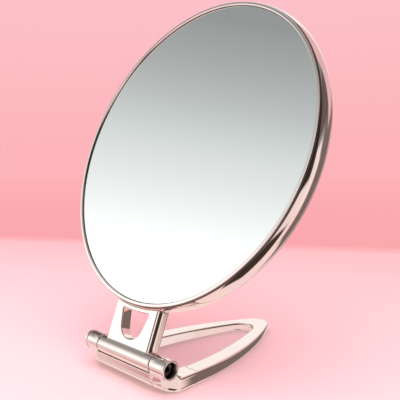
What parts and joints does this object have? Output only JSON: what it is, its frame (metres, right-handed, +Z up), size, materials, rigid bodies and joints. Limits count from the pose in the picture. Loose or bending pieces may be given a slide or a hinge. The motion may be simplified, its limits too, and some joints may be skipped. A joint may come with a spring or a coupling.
{
  "type": "folding hand mirror",
  "caption": "Round two-sided hand mirror in a thin plated rim, hinged by a windowed neck to a teardrop loop handle that also serves as its tabletop stand.",
  "frame": {"origin": "on the table, under the middle of the standing mirror's footprint", "axes": "+X along the hinge to the right of a person facing the mirror, +Y to the back towards the loop's tip, +Z up"},
  "size_m": [0.15, 0.0952, 0.1671],
  "materials": {
    "plated_casting": "polished, warm champagne-rose plating",
    "plated_rim": "polished, warm champagne-rose plating",
    "plated_ring": "polished, warm champagne-rose plating",
    "mirror_glass": "silvered float glass with a green edge",
    "magnifying_mirror": "silvered dished glass",
    "seal": "thin black gasket",
    "foam": "white double-sided foam pad",
    "core": "moulded ABS plate",
    "steel": "zinc-plated steel",
    "spring_steel": "dark spring steel",
    "nylon": "black nylon"
  },
  "bodies": {
    "handle": {"handle_loop": "plated_casting", "right_end_ring": "plated_ring", "left_end_ring": "plated_ring", "pivot_bolt": "steel", "disc_springs": "spring_steel", "flat_washer": "steel", "pivot_nut": "steel"},
    "head": {"rim_hoop": "plated_rim", "front_bezel": "plated_rim", "rear_bezel": "plated_rim", "front_gasket": "seal", "rear_gasket": "seal", "front_glass": "mirror_glass", "rear_glass": "magnifying_mirror", "front_foam": "foam", "rear_foam": "foam", "core_plate": "core", "saddle_plate": "steel", "neck_screws": "steel", "neck": "plated_casting", "right_bush": "nylon", "left_bush": "nylon"}
  },
  "joints": [
    {"name": "head_tilt", "type": "hinge", "parent": "handle", "child": "head", "pos_m": [0, -0.04334, 0.011], "axis": [1, 0, 0], "range_deg": [-66.5, 113.5]}
  ]
}
